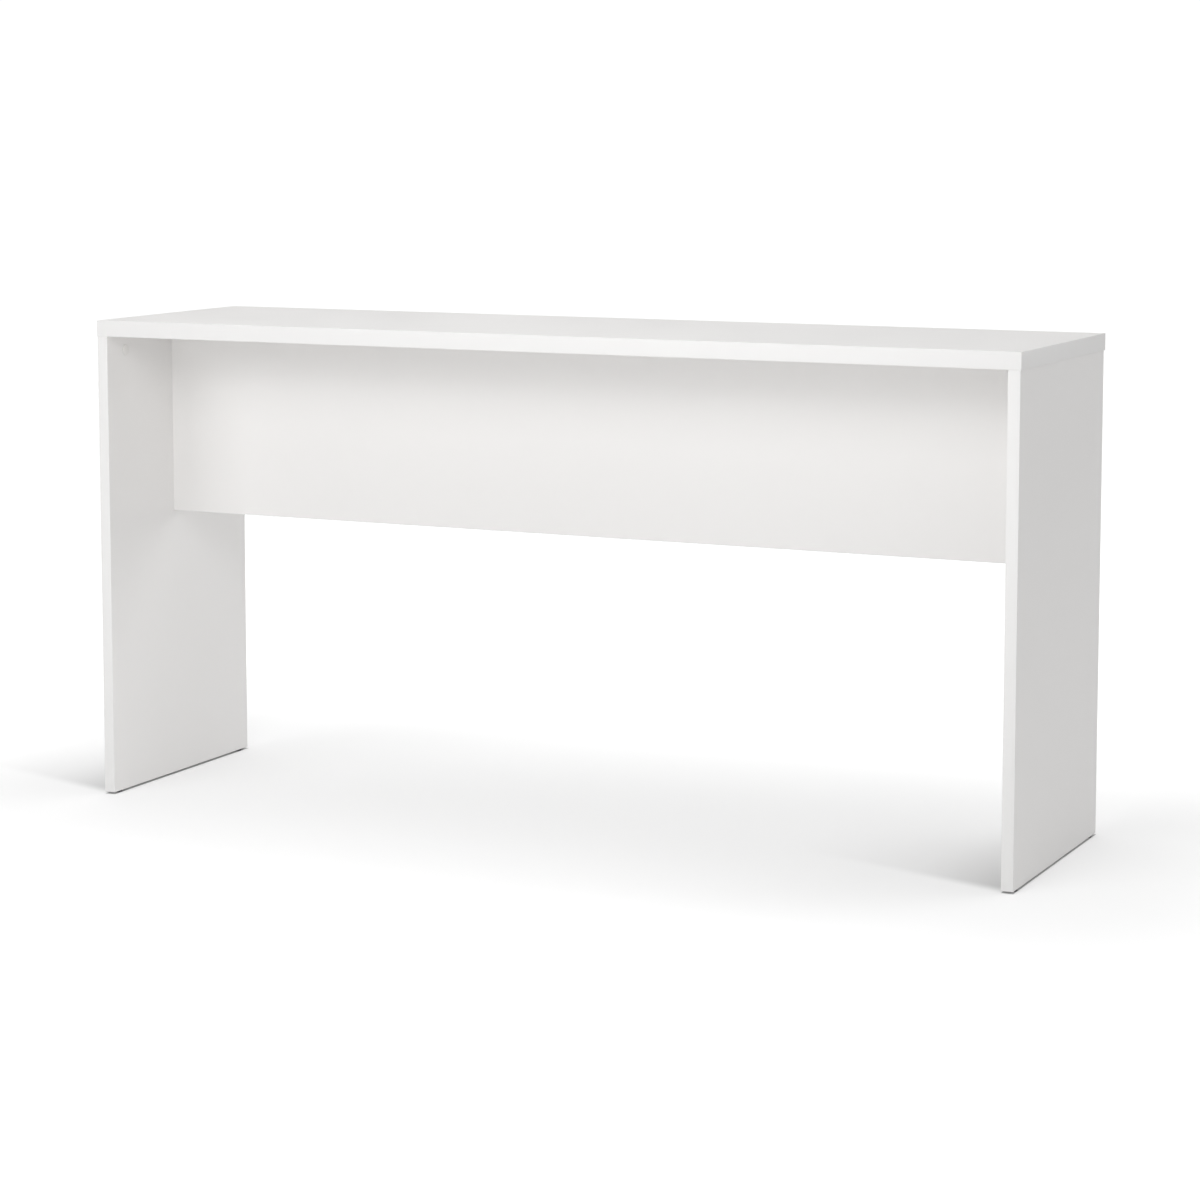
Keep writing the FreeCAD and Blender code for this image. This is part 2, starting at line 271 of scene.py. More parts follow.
def face_outwards(bm):
    """Turns every face of one closed solid to the outside."""
    bmesh.ops.recalc_face_normals(bm, faces=bm.faces)
    if bm.calc_volume(signed=True) < 0:
        bmesh.ops.reverse_faces(bm, faces=bm.faces)


def new_piece(name, solids, material, body, node):
    """Makes a piece from pairs of a closed solid and its place. It stands for a CAD node."""
    bm = bmesh.new()
    mesh = bpy.data.meshes.new(name)
    for solid, place in solids:
        face_outwards(solid)
        solid.to_mesh(mesh)
        solid.free()
        mesh.transform(place)
        bm.from_mesh(mesh)
    bm.to_mesh(mesh)
    bm.free()
    mesh.shade_smooth()
    mesh.set_sharp_from_angle(angle=CREASE)
    mesh.materials.append(material)
    piece = bpy.data.objects.new(name, mesh)
    bpy.context.scene.collection.objects.link(piece)
    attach(piece, body)
    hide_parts(node)
    return piece


def finish_node(name, material):
    """Gives a CAD node its material."""
    node = frame["nodes"][name]
    node.data.materials.clear()
    node.data.materials.append(material)


def standing_at(node):
    """From a small turned piece's own frame to the middle of a CAD node, on the floor."""
    low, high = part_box(node)
    return Matrix.Translation(((low.x + high.x) / 2, (low.y + high.y) / 2, 0))


def hinge_of(lock):
    """The point on a board's face that a cam lock turns about, and the way out of that face."""
    joint = next(joint for joint in frame["joints"] if joint["name"] == f"{lock}_turn")
    return Vector(joint["pos_m"]), Vector(joint["axis"])


def bolt_height(node, lock):
    """The height of a bolt's axis over the face that its lock sits in. It is below 0."""
    pivot, outward = hinge_of(lock)
    low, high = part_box(node)
    return ((low + high) / 2 - pivot).dot(outward)


def solid_boxes(node, spacing):
    """The lowest and highest corners of each solid in a CAD group, when they stand well apart."""
    groups = []
    for vert in frame["nodes"][node].data.vertices:
        near = next((group for group in groups if (group[0] - vert.co).length < spacing), None)
        if near:
            near.append(vert.co)
        else:
            groups.append([vert.co])
    return [(Vector(map(min, *group)), Vector(map(max, *group))) for group in groups]


def lock_frame(lock, towards):
    """From a cam fitting's own frame to the table's."""
    pivot, outward = hinge_of(lock)
    turn = Matrix((towards, outward.cross(towards), outward)).transposed()
    return Matrix.Translation(pivot) @ turn.to_4x4()


def band_mesh(node, outward, rounding, glue_line):
    """A strip with its outer edges trimmed round and its glued edges just broken."""
    low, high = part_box(node)
    bm = bmesh.new()
    bmesh.ops.create_cube(bm, size=1)
    bmesh.ops.scale(bm, vec=high - low, verts=bm.verts)
    bmesh.ops.translate(bm, vec=(low + high) / 2, verts=bm.verts)
    bm.normal_update()
    inner = next(face for face in bm.faces if face.normal.dot(outward) < -0.5)
    bevel(bm, list(inner.edges), glue_line, 1)
    bm.normal_update()
    outer = next(face for face in bm.faces if face.normal.dot(outward) > 0.9)
    bevel(bm, list(outer.edges), rounding, 4)
    return bm


def cross_ring(bm, arm, half_width, height):
    """A level ring of edges in the shape of a cross."""
    corners = [(arm, half_width), (half_width, half_width), (half_width, arm)]
    points = [
        Matrix.Rotation(quarter * math.pi / 2, 3, "Z") @ Vector((x, y, height))
        for quarter in range(4)
        for x, y in corners
    ]
    verts = [bm.verts.new(point) for point in points]
    return [bm.edges.new(pair) for pair in zip(verts, verts[1:] + verts[:1])]


def cap_mesh(settings):
    """A domed disc with a prising notch, and a tapered cross-shaped peg under it."""
    low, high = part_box("left_front_cover_cap")
    pivot, _ = hinge_of("left_front")
    radius = (high.y - low.y) / 2
    crown = high.x - pivot.x
    crown_rise = 0.12 * MM
    hem = 0.1 * MM
    eave = crown - 0.5 * MM
    seat = radius * 0.62
    corner = radius - 0.25 * MM
    notch_half_width = radius * 0.16
    notch_curve = radius * 0.2
    peg_arm = 4.35 * MM
    peg_half_width = 0.85 * MM
    peg_foot = low.x - pivot.x
    peg_taper = 0.96
    bm = bmesh.new()
    profile = [(seat, hem), (corner, hem), (radius, hem + 0.15 * MM), (radius, hem + settings.cap_rim)]
    profile += [(radius - 0.1 * MM, eave + 0.16 * MM), (radius - 0.35 * MM, eave + 0.3 * MM)]
    profile += [(radius * part, crown - crown_rise * part**2) for part in (0.85, 0.6, 0.3)]
    profile.append((0, crown))
    spun(bm, profile, 64)
    for vert in bm.verts:
        on_notch_side = vert.co.x > radius * 0.9 and vert.co.z > hem + settings.cap_rim / 2
        if on_notch_side and abs(vert.co.y) < notch_half_width:
            vert.co.x -= settings.cap_notch * (1 - (vert.co.y / notch_curve) ** 2)
    seat_ring = [edge for edge in bm.edges if edge.is_boundary]
    peg_ring = cross_ring(bm, peg_arm, peg_half_width, hem)
    bmesh.ops.bridge_loops(bm, edges=seat_ring + peg_ring)
    root = bmesh.ops.contextual_create(bm, geom=peg_ring)["faces"]
    foot = bmesh.ops.extrude_face_region(bm, geom=root)["geom"]
    foot_verts = [part for part in foot if isinstance(part, bmesh.types.BMVert)]
    bmesh.ops.translate(bm, vec=(0, 0, peg_foot - hem), verts=foot_verts)
    bmesh.ops.scale(bm, vec=(peg_taper, peg_taper, 1), verts=foot_verts)
    bmesh.ops.delete(bm, geom=root, context="FACES_ONLY")
    return bm


def bolt_solids(settings):
    """A cam bolt along X: one solid with a ball head, neck and shaft, and one for its helical thread."""
    ball = 3.2 * MM
    centre = 1.3 * MM
    neck = 2.0 * MM
    shaft = 3.5 * MM
    shaft_start = 8.2 * MM
    shaft_end = 24.0 * MM
    root = 1.95 * MM
    crest = 2.45 * MM
    point = 1.2 * MM
    point_radius = 0.3 * MM
    tip = 33.6 * MM
    chamfer = 0.4 * MM
    profile = arc_points((0, centre), ball, -math.pi / 2, math.acos(neck / ball), 14)
    profile[0] = (0, profile[0][1])
    profile += [(neck, shaft_start), (shaft - chamfer, shaft_start), (shaft, shaft_start + chamfer)]
    profile += [(shaft, shaft_end - chamfer), (shaft - chamfer, shaft_end), (root, shaft_end)]
    profile += [(root, tip - point), (point_radius, tip), (0, tip)]
    body = bmesh.new()
    spun(body, profile, 32)

    pitch = settings.thread_pitch
    flank = pitch * 0.36
    sunk = root - 0.1 * MM
    rib = [(sunk, shaft_end), (crest, shaft_end + flank), (sunk, shaft_end + 2 * flank)]
    thread = bmesh.new()
    verts = [thread.verts.new((radius, 0, height)) for radius, height in rib]
    edges = [thread.edges.new(pair) for pair in zip(verts, verts[1:] + verts[:1])]
    bmesh.ops.spin(
        thread,
        geom=verts + edges,
        axis=Z_AXIS,
        cent=(0, 0, 0),
        dvec=(0, 0, pitch / THREAD_STEPS),
        angle=math.tau * THREAD_TURNS,
        steps=THREAD_STEPS * THREAD_TURNS,
    )
    bmesh.ops.holes_fill(thread, edges=[edge for edge in thread.edges if edge.is_boundary], sides=3)

    along_x = Matrix.Rotation(math.pi / 2, 4, "Y")
    body.transform(along_x)
    thread.transform(along_x)
    return body, thread


def dowel_mesh(radius, length_along, flutes, depth):
    """A dowel along Z, centred at the origin, with straight flutes and chamfered ends."""
    chamfer = 1.0 * MM
    taper = (radius - chamfer) / radius
    per_flute = 4
    bm = bmesh.new()
    segments = per_flute * flutes
    ring = bmesh.ops.create_circle(bm, cap_ends=True, radius=radius, segments=segments)["verts"]
    for vert in ring[::per_flute]:
        vert.co *= (radius - depth) / radius
    bmesh.ops.translate(bm, vec=(0, 0, chamfer - length_along / 2), verts=ring)
    bmesh.ops.recalc_face_normals(bm, faces=bm.faces)
    middle = bmesh.ops.extrude_face_region(bm, geom=bm.faces[:])["geom"]
    top = [part for part in middle if isinstance(part, bmesh.types.BMVert)]
    bmesh.ops.translate(bm, vec=(0, 0, length_along - 2 * chamfer), verts=top)
    for sign in (-1, 1):
        end = max(bm.faces, key=lambda face: sign * face.calc_center_median().z)
        grown = bmesh.ops.extrude_face_region(bm, geom=[end])["geom"]
        verts = [part for part in grown if isinstance(part, bmesh.types.BMVert)]
        bmesh.ops.translate(bm, vec=(0, 0, sign * chamfer), verts=verts)
        bmesh.ops.scale(bm, vec=(taper, taper, 1), verts=verts)
        bmesh.ops.delete(bm, geom=[end], context="FACES_ONLY")
    return bm


def glide_mesh(radius, height, dish, nail_profile):
    """A pad moulded round a nail's head, with a rounded foot and a shallow dish in the middle."""
    rounding = 0.8 * MM
    lip = 0.3 * MM
    dish_floor = 3.0 * MM
    dish_edge = 3.8 * MM
    inside = [point for point in nail_profile if point[1] < height]
    bm = bmesh.new()
    profile = [(0, dish), (dish_floor, dish), (dish_edge, 0)]
    profile += arc_points((radius - rounding, rounding), rounding, -math.pi / 2, 0, 5)
    profile += [(radius, height - lip - 0.1 * MM), (radius - lip, height - lip)]
    profile += [(radius - lip, height), (inside[-1][0], height), *reversed(inside)]
    spun(bm, profile, 48)
    return bm


def nail_outline():
    """The outline of a glide's nail, with its head down, rings round its shank, and a point."""
    low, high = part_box("glide_nails")
    foot, tip = low.z, high.z
    head = 3.0 * MM
    shoulder = foot + 0.9 * MM
    shank = 1.0 * MM
    groove = 0.88 * shank
    point = 2.0 * MM
    first_ring = foot + 7 * MM
    ring_step = 0.8 * MM
    outline = [(0, foot), (head, foot), (head, shoulder), (shank, shoulder)]
    for ring in range(8):
        height = first_ring + ring * ring_step
        outline += [(shank, height), (groove, height + 0.15 * MM), (shank, height + 0.5 * MM)]
    outline += [(shank, tip - point), (0, tip)]
    return outline


# Materials


def add_node(material, kind, inputs, **settings):
    """Adds a node to a material, and gives each named input a value or a link."""
    tree = material.node_tree
    made = tree.nodes.new(kind)
    for key, value in settings.items():
        setattr(made, key, value)
    for key, value in inputs.items():
        if isinstance(value, bpy.types.NodeSocket):
            tree.links.new(value, made.inputs[key])
        else:
            made.inputs[key].default_value = value
    return made


def new_material(name, roughness, metallic=0.0):
    """A material, its shader, and the object's coordinates to draw its pattern on."""
    material = bpy.data.materials.new(name)
    material.use_nodes = True
    shader = material.node_tree.nodes["Principled BSDF"]
    shader.inputs["Roughness"].default_value = roughness
    shader.inputs["Metallic"].default_value = metallic
    place = add_node(material, "ShaderNodeTexCoord", {}).outputs["Object"]
    return material, shader, place


def link(material, output, socket):
    """Joins a node's output to a socket."""
    material.node_tree.links.new(output, socket)


def stretched(material, place, scale):
    """Coordinates scaled along each axis, so that a pattern is longer one way."""
    return add_node(
        material, "ShaderNodeMapping", {"Vector": place, "Scale": scale}, vector_type="POINT"
    ).outputs["Vector"]


def noise(material, place, size, detail=2.0, roughness=0.5):
    """A noise pattern whose patches are about the given size."""
    values = {"Vector": place, "Scale": 1 / size, "Detail": detail, "Roughness": roughness}
    return add_node(material, "ShaderNodeTexNoise", values).outputs["Fac"]


def ranged(material, value, low, high):
    """A pattern's value, moved into a range. Most of a noise pattern lies between 0.3 and 0.7."""
    values = {"Value": value, "From Min": 0.3, "From Max": 0.7, "To Min": low, "To Max": high}
    return add_node(material, "ShaderNodeMapRange", values).outputs["Result"]


def mixed(material, factor, first, second):
    """A blend of two colours. A Mix node holds them in its inputs 6 and 7 and its output 2."""
    node = add_node(material, "ShaderNodeMix", {}, data_type="RGBA")
    for index, value in ((0, factor), (6, first), (7, second)):
        if isinstance(value, bpy.types.NodeSocket):
            link(material, value, node.inputs[index])
        else:
            node.inputs[index].default_value = value
    return node.outputs[2]


def scalar_math(material, operation, *numbers):
    """The result of a math node on numbers."""
    return add_node(material, "ShaderNodeMath", dict(enumerate(numbers)), operation=operation).outputs[0]


def vector_math(material, operation, *vectors):
    """The result of a math node on vectors."""
    values = dict(enumerate(vectors))
    return add_node(material, "ShaderNodeVectorMath", values, operation=operation).outputs["Vector"]


def tone(rgb, lightness):
    """A colour made lighter or darker, for a colour socket."""
    return (*[min(1, channel * lightness) for channel in rgb], 1)


def bumped(material, shader, height, depth, strength=1.0):
    """A fine relief of a given depth."""
    values = {"Height": height, "Distance": depth, "Strength": strength}
    bump = add_node(material, "ShaderNodeBump", values)
    link(material, bump.outputs["Normal"], shader.inputs["Normal"])


def melamine_board(name, board, node, axis):
    """Satin melamine on both faces of a board, and particle board where the core is bare."""
    low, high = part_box(node)
    material, shader, place = new_material(name, board.facing_roughness)
    half_core = (high - low)[axis] / 2 - board.facing_thickness
    chips_per_metre = (260, 320, 620)
    spread = noise(material, place, 0.35, 3)
    facing = mixed(
        material, ranged(material, spread, 0, 1), tone(board.facing, 0.992), tone(board.facing, 1.0)
    )
    chips = add_node(
        material,
        "ShaderNodeTexVoronoi",
        {"Vector": stretched(material, place, chips_per_metre), "Scale": 1.0},
    )
    chip_shade = add_node(material, "ShaderNodeSeparateColor", {"Color": chips.outputs["Color"]})
    core = mixed(material, chip_shade.outputs["Red"], tone(board.core, 0.55), tone(board.core, 1.5))
    parts = add_node(material, "ShaderNodeSeparateXYZ", {"Vector": place}).outputs
    depth = parts["XYZ"[axis]]
    middle = (low + high)[axis] / 2
    if axis == 0:
        # The two side boards share their material, so it goes by the distance from the table's middle
        depth = scalar_math(material, "ABSOLUTE", depth)
        middle = abs(middle)
    inside = scalar_math(material, "COMPARE", depth, middle, half_core)
    link(material, mixed(material, inside, facing, core), shader.inputs["Base Color"])
    handled = ranged(material, noise(material, place, 0.12, 4), -0.03, 0.03)
    roughness = scalar_math(material, "ADD", handled, board.facing_roughness)
    roughness = scalar_math(material, "MULTIPLY_ADD", inside, 0.5, roughness)
    link(material, roughness, shader.inputs["Roughness"])
    pearl = noise(material, place, 0.9 * MM, 1)
    bumped(material, shader, pearl, 0.012 * MM)
    return material


def band_plastic(board):
    """Satin edge band: a shade whiter than the facing, with a fine sanded lie."""
    material, shader, place = new_material("satin_edge_band", 0.38)
    streak = noise(material, stretched(material, place, (0.06, 1, 0.06)), 0.8 * MM, 3)
    grey = noise(material, place, 0.25, 3)
    tint = mixed(material, ranged(material, grey, 0, 1), tone(board.band, 0.993), tone(board.band, 1.0))
    link(material, tint, shader.inputs["Base Color"])
    link(material, ranged(material, streak, 0.34, 0.42), shader.inputs["Roughness"])
    bumped(material, shader, streak, 0.008 * MM)
    return material


def cap_plastic(fitting):
    """Moulded white plastic with a fine spark-eroded skin."""
    material, shader, place = new_material("moulded_cap_plastic", 0.45)
    skin = noise(material, place, 0.22 * MM, 2)
    cloud = noise(material, place, 4 * MM, 2)
    tint = mixed(material, ranged(material, cloud, 0, 1), tone(fitting.cap, 0.98), tone(fitting.cap, 1.0))
    link(material, tint, shader.inputs["Base Color"])
    link(material, ranged(material, cloud, 0.4, 0.5), shader.inputs["Roughness"])
    bumped(material, shader, skin, 0.01 * MM)
    return material


def cast_zinc(fitting):
    """Dull die-cast zinc with a mottled skin."""
    material, shader, place = new_material("cast_zinc", 0.45, metallic=1.0)
    mottle = noise(material, place, 1.1 * MM, 4, 0.6)
    tint = mixed(
        material, ranged(material, mottle, 0, 1), tone(fitting.zinc, 0.82), tone(fitting.zinc, 1.08)
    )
    link(material, tint, shader.inputs["Base Color"])
    link(material, ranged(material, mottle, 0.36, 0.56), shader.inputs["Roughness"])
    bumped(material, shader, noise(material, place, 0.3 * MM, 2), 0.02 * MM)
    return material


def turned_steel(name, rgb, roughness):
    """Plated or drawn steel with faint tool marks."""
    material, shader, place = new_material(name, roughness, metallic=1.0)
    marks = noise(material, place, 0.35 * MM, 3)
    cloud = noise(material, place, 3 * MM, 2)
    tint = mixed(material, ranged(material, cloud, 0, 1), tone(rgb, 0.88), tone(rgb, 1.06))
    link(material, tint, shader.inputs["Base Color"])
    link(
        material, ranged(material, marks, roughness - 0.06, roughness + 0.08), shader.inputs["Roughness"]
    )
    bumped(material, shader, marks, 0.006 * MM)
    return material


def beech_wood(name, rgb, axis):
    """Beech with long grain along one axis and small dark flecks."""
    material, shader, place = new_material(name, 0.62)
    along = [1.0, 1.0, 1.0]
    along[axis] = 0.07
    grain = noise(material, stretched(material, place, along), 0.7 * MM, 4, 0.6)
    along[axis] = 0.18
    fleck = add_node(
        material,
        "ShaderNodeTexVoronoi",
        {"Vector": stretched(material, place, along), "Scale": 1 / (0.9 * MM)},
    ).outputs["Distance"]
    dark = add_node(
        material,
        "ShaderNodeMapRange",
        {"Value": fleck, "From Min": 0.1, "From Max": 0.25, "To Min": 0.35, "To Max": 0.0},
    ).outputs["Result"]
    wood = mixed(material, ranged(material, grain, 0, 1), tone(rgb, 0.84), tone(rgb, 1.12))
    link(material, mixed(material, dark, wood, tone(rgb, 0.5)), shader.inputs["Base Color"])
    link(material, ranged(material, grain, 0.55, 0.7), shader.inputs["Roughness"])
    bumped(material, shader, grain, 0.03 * MM)
    return material


def glide_plastic(glide):
    """Hard dark plastic, a little scuffed."""
    material, shader, place = new_material("hard_glide_plastic", 0.5)
    scuff = noise(material, place, 1.5 * MM, 4, 0.65)
    tint = mixed(
        material, ranged(material, scuff, 0, 1), tone(glide.plastic, 0.8), tone(glide.plastic, 1.35)
    )
    link(material, tint, shader.inputs["Base Color"])
    link(material, ranged(material, scuff, 0.42, 0.62), shader.inputs["Roughness"])
    bumped(material, shader, noise(material, place, 0.25 * MM, 2), 0.01 * MM)
    return material


# A painted shadow beside the left face of each side board, cut out of the floor's glow that the camera sees:
# a distance in metres, and the share of the floor's glow that is missing there. It ends at the reach.
CONTACT_REACH = 0.35
PAINTED_CONTACT_SHADE = ((0.002, 0.95), (0.04, 0.8), (0.07, 0.65), (0.11, 0.46), (0.15, 0.3), (0.25, 0.14))
# How far back its front edge leans for each metre of distance, and where that edge starts and ends,
# in metres behind the table's front
CONTACT_LEAN = 0.3
CONTACT_EDGE = (-0.005, 0.035)


def painted_contact_shade(material, place):
    """How much of the floor's glow is kept away from beneath and beside the side boards: painted shade."""
    low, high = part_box("right_side_panel")
    half = (high.x - low.x) / 2
    back = cad_bounds[1][1]
    parts = add_node(material, "ShaderNodeSeparateXYZ", {"Vector": place}).outputs
    side = scalar_math(material, "SIGN", parts["X"])
    middle = scalar_math(material, "MULTIPLY", side, (low.x + high.x) / 2)
    to_left = scalar_math(material, "SUBTRACT", middle, parts["X"])
    beneath = scalar_math(material, "COMPARE", to_left, 0.0, half)
    across = scalar_math(material, "COMPARE", parts["Y"], 0.0, back)
    beneath = scalar_math(material, "MULTIPLY", beneath, across)

    away = scalar_math(material, "SUBTRACT", to_left, half)
    values = {"Value": away, "From Min": 0.0, "From Max": CONTACT_REACH}
    along_ramp = add_node(material, "ShaderNodeMapRange", values).outputs["Result"]
    ramp = add_node(material, "ShaderNodeValToRGB", {"Fac": along_ramp})
    stops = ramp.color_ramp.elements
    for end in stops:
        end.color = (0, 0, 0, 1)
    for distance, dark in PAINTED_CONTACT_SHADE:
        stops.new(distance / CONTACT_REACH).color = (dark, dark, dark, 1)
    leaning = scalar_math(material, "MULTIPLY_ADD", away, -CONTACT_LEAN, parts["Y"])
    start, end = [reach - back for reach in CONTACT_EDGE]
    values = {"Value": leaning, "From Min": start, "From Max": end}
    front = add_node(material, "ShaderNodeMapRange", values, interpolation_type="SMOOTHSTEP")
    values = {"Value": parts["Y"], "From Min": back, "From Max": -back}
    fading = add_node(material, "ShaderNodeMapRange", values)
    extent = scalar_math(material, "MULTIPLY", front.outputs["Result"], fading.outputs["Result"])
    beside = scalar_math(material, "MULTIPLY", ramp.outputs["Color"], extent)
    return scalar_math(material, "MAXIMUM", beneath, beside)


def studio_floor(studio):
    """A plain pale floor with a glow of its own, stronger away from the table, as a backdrop's is."""
    material, shader, place = new_material("studio_floor", 0.9)
    shader.inputs["Specular IOR Level"].default_value = 0.1
    shader.inputs["Emission Color"].default_value = (1, 1, 1, 1)
    cloud = noise(material, place, 0.8, 2)
    grey = (studio.floor, studio.floor, studio.floor)
    tint = mixed(material, cloud, tone(grey, 0.995), tone(grey, 1.005))
    link(material, tint, shader.inputs["Base Color"])

    _, corner = cad_bounds
    outer_corner = (corner[0], corner[1], 1)
    offset = vector_math(material, "ABSOLUTE", place)
    offset = vector_math(material, "SUBTRACT", offset, outer_corner)
    offset = vector_math(material, "MAXIMUM", offset, (0, 0, 0))
    distance = add_node(material, "ShaderNodeVectorMath", {0: offset}, operation="LENGTH").outputs["Value"]
    values = {"Value": distance, "From Min": studio.backdrop_start, "From Max": studio.backdrop_end}
    values |= {"To Min": studio.floor_glow, "To Max": studio.backdrop_glow}
    glow = add_node(material, "ShaderNodeMapRange", values, interpolation_type="SMOOTHSTEP")
    # Painted shade beneath and beside the side boards, in the glow that only the camera sees
    lit = scalar_math(material, "SUBTRACT", 1.0, painted_contact_shade(material, place))
    glow = scalar_math(material, "MULTIPLY", glow.outputs["Result"], lit)
    seen = add_node(material, "ShaderNodeLightPath", {}).outputs["Is Camera Ray"]
    choice = {0: seen, 2: studio.bounce_glow, 3: glow}
    strength = add_node(material, "ShaderNodeMix", choice, data_type="FLOAT").outputs[0]
    link(material, strength, shader.inputs["Emission Strength"])
    return material


# Operators


class PieceOperator(bpy.types.Operator):
    """What every operator of the table shares."""

    bl_options = {"REGISTER", "UNDO"}


class CONSOLE_TABLE_OT_boards(PieceOperator):
    """Give the four boards their melamine facing and particle board core"""

    bl_idname = "console_table.boards"
    bl_label = "Finish Boards"

    def execute(self, context):
        board = context.scene.console_table.board
        top = melamine_board("melamine_top", board, "top_panel", 2)
        side = melamine_board("melamine_side", board, "right_side_panel", 0)
        modesty = melamine_board("melamine_modesty", board, "modesty_panel", 1)
        finish_node("top_panel", top)
        finish_node("left_side_panel", side)
        finish_node("right_side_panel", side)
        finish_node("modesty_panel", modesty)
        return {"FINISHED"}


class CONSOLE_TABLE_OT_edge_bands(PieceOperator):
    """Build the edge bands with trimmed edges and fine glue lines"""

    bl_idname = "console_table.edge_bands"
    bl_label = "Build Edge Bands"

    def execute(self, context):
        board = context.scene.console_table.board
        plastic = band_plastic(board)
        for node, outward in BAND_SIDES.items():
            strip = band_mesh(node, outward, board.band_rounding, board.glue_line)
            solids = [(strip, IN_PLACE)]
            new_piece(f"{node}_strip", solids, plastic, "carcass", node)
        return {"FINISHED"}


class CONSOLE_TABLE_OT_cover_caps(PieceOperator):
    """Build the cover cap of each cam lock"""

    bl_idname = "console_table.cover_caps"
    bl_label = "Build Cover Caps"

    def execute(self, context):
        fitting = context.scene.console_table.fitting
        plastic = cap_plastic(fitting)
        for locks, towards in LOCKS_OF_JOINT.values():
            for lock in locks:
                node = f"{lock}_cover_cap"
                solids = [(cap_mesh(fitting), lock_frame(lock, towards))]
                new_piece(f"{lock}_domed_cap", solids, plastic, f"{lock}_lock", node)
        return {"FINISHED"}


class CONSOLE_TABLE_OT_cam_locks(PieceOperator):
    """Give the cam locks their cast finish"""

    bl_idname = "console_table.cam_locks"
    bl_label = "Finish Cam Locks"

    def execute(self, context):
        zinc = cast_zinc(context.scene.console_table.fitting)
        for locks, _ in LOCKS_OF_JOINT.values():
            for lock in locks:
                finish_node(f"{lock}_cam_lock", zinc)
        return {"FINISHED"}


class CONSOLE_TABLE_OT_bolts(PieceOperator):
    """Build the bolts of each joint with their threads"""

    bl_idname = "console_table.bolts"
    bl_label = "Build Bolts"

    def execute(self, context):
        fitting = context.scene.console_table.fitting
        steel = turned_steel("plated_bolt_steel", fitting.bolt, 0.3)
        for joint, (locks, towards) in LOCKS_OF_JOINT.items():
            node = f"{joint}_bolts"
            solids = []
            for lock in locks:
                place = lock_frame(lock, towards) @ Matrix.Translation((0, 0, bolt_height(node, lock)))
                solids += [(solid, place) for solid in bolt_solids(fitting)]
            new_piece(f"{joint}_threaded_bolts", solids, steel, "carcass", node)
        return {"FINISHED"}


class CONSOLE_TABLE_OT_dowels(PieceOperator):
    """Build the fluted dowels of each joint"""

    bl_idname = "console_table.dowels"
    bl_label = "Build Dowels"

    def execute(self, context):
        fitting = context.scene.console_table.fitting
        woods = {2: beech_wood("beech_upright", fitting.beech, 2)}
        woods[0] = beech_wood("beech_level", fitting.beech, 0)
        for joint, (_, towards) in LOCKS_OF_JOINT.items():
            node = f"{joint}_dowels"
            axis = 0 if abs(towards.x) > 0.5 else 2
            turn = Z_AXIS.rotation_difference(towards).to_matrix().to_4x4()
            solids = []
            for low, high in solid_boxes(node, DOWEL_SPACING):
                size = high - low
                dowel = dowel_mesh(size.y / 2, size[axis], fitting.flutes, fitting.flute_depth)
                solids.append((dowel, Matrix.Translation((low + high) / 2) @ turn))
            new_piece(f"{joint}_fluted_dowels", solids, woods[axis], "carcass", node)
        return {"FINISHED"}


class CONSOLE_TABLE_OT_glides(PieceOperator):
    """Build the moulded glides"""

    bl_idname = "console_table.glides"
    bl_label = "Build Glides"

    def execute(self, context):
        glide = context.scene.console_table.glide
        plastic = glide_plastic(glide)
        for node in GLIDES:
            low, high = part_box(node)
            pad = glide_mesh((high.x - low.x) / 2, high.z - low.z, glide.dish, nail_outline())
            solids = [(pad, standing_at(node))]
            new_piece(f"{node}_pad", solids, plastic, "carcass", node)
        return {"FINISHED"}


class CONSOLE_TABLE_OT_glide_nails(PieceOperator):
    """Build the nails that hold the glides"""

    bl_idname = "console_table.glide_nails"
    bl_label = "Build Glide Nails"

    def execute(self, context):
        steel = turned_steel("drawn_nail_steel", context.scene.console_table.glide.nail, 0.28)
        solids = []
        for node in GLIDES:
            nail = bmesh.new()
            spun(nail, nail_outline(), 20)
            solids.append((nail, standing_at(node)))
        new_piece("ringed_glide_nails", solids, steel, "carcass", "glide_nails")
        return {"FINISHED"}


# The near softboxes: where each stands, what it is aimed at, its width and height, and its watts
SOFTBOXES = {
    "key_softbox": ((-2.6, -4.6, 2.2), (0, 0, 0.45), (2.4, 1.6), 56.5),
    "front_softbox": ((0.3, -2.2, 1.8), (0, 0, 0.4), (0.9, 0.9), 12.9),
    "low_softbox": ((0, -2.5, 0.6), (0, 0, 0.4), (1.4, 0.8), 8.7),
    "rear_left_softbox": ((-1.5, 1.2, 2.4), (0, 0, 0.4), (1.5, 1.5), 9.4),
    "rear_softbox": ((-0.4, 2.2, 2), (0, 0, 0.4), (2, 1.2), 5.5),
}

# Their edges would show as hard steps on the top, seen from behind at a low angle
UNREFLECTED_LIGHTS = ("key_softbox", "front_softbox")

# The distant soft lights: where each comes from, how many degrees wide it looks, and its strength
DISTANT_LIGHTS = {
    "overhead_light": ((0, 0, 1), 60, 1.657),
    "right_rear_light": ((0.66446, 0.66446, 0.34202), 50, 0.921),
    "right_front_light": ((0.66446, -0.66446, 0.34202), 50, 0.396),
}


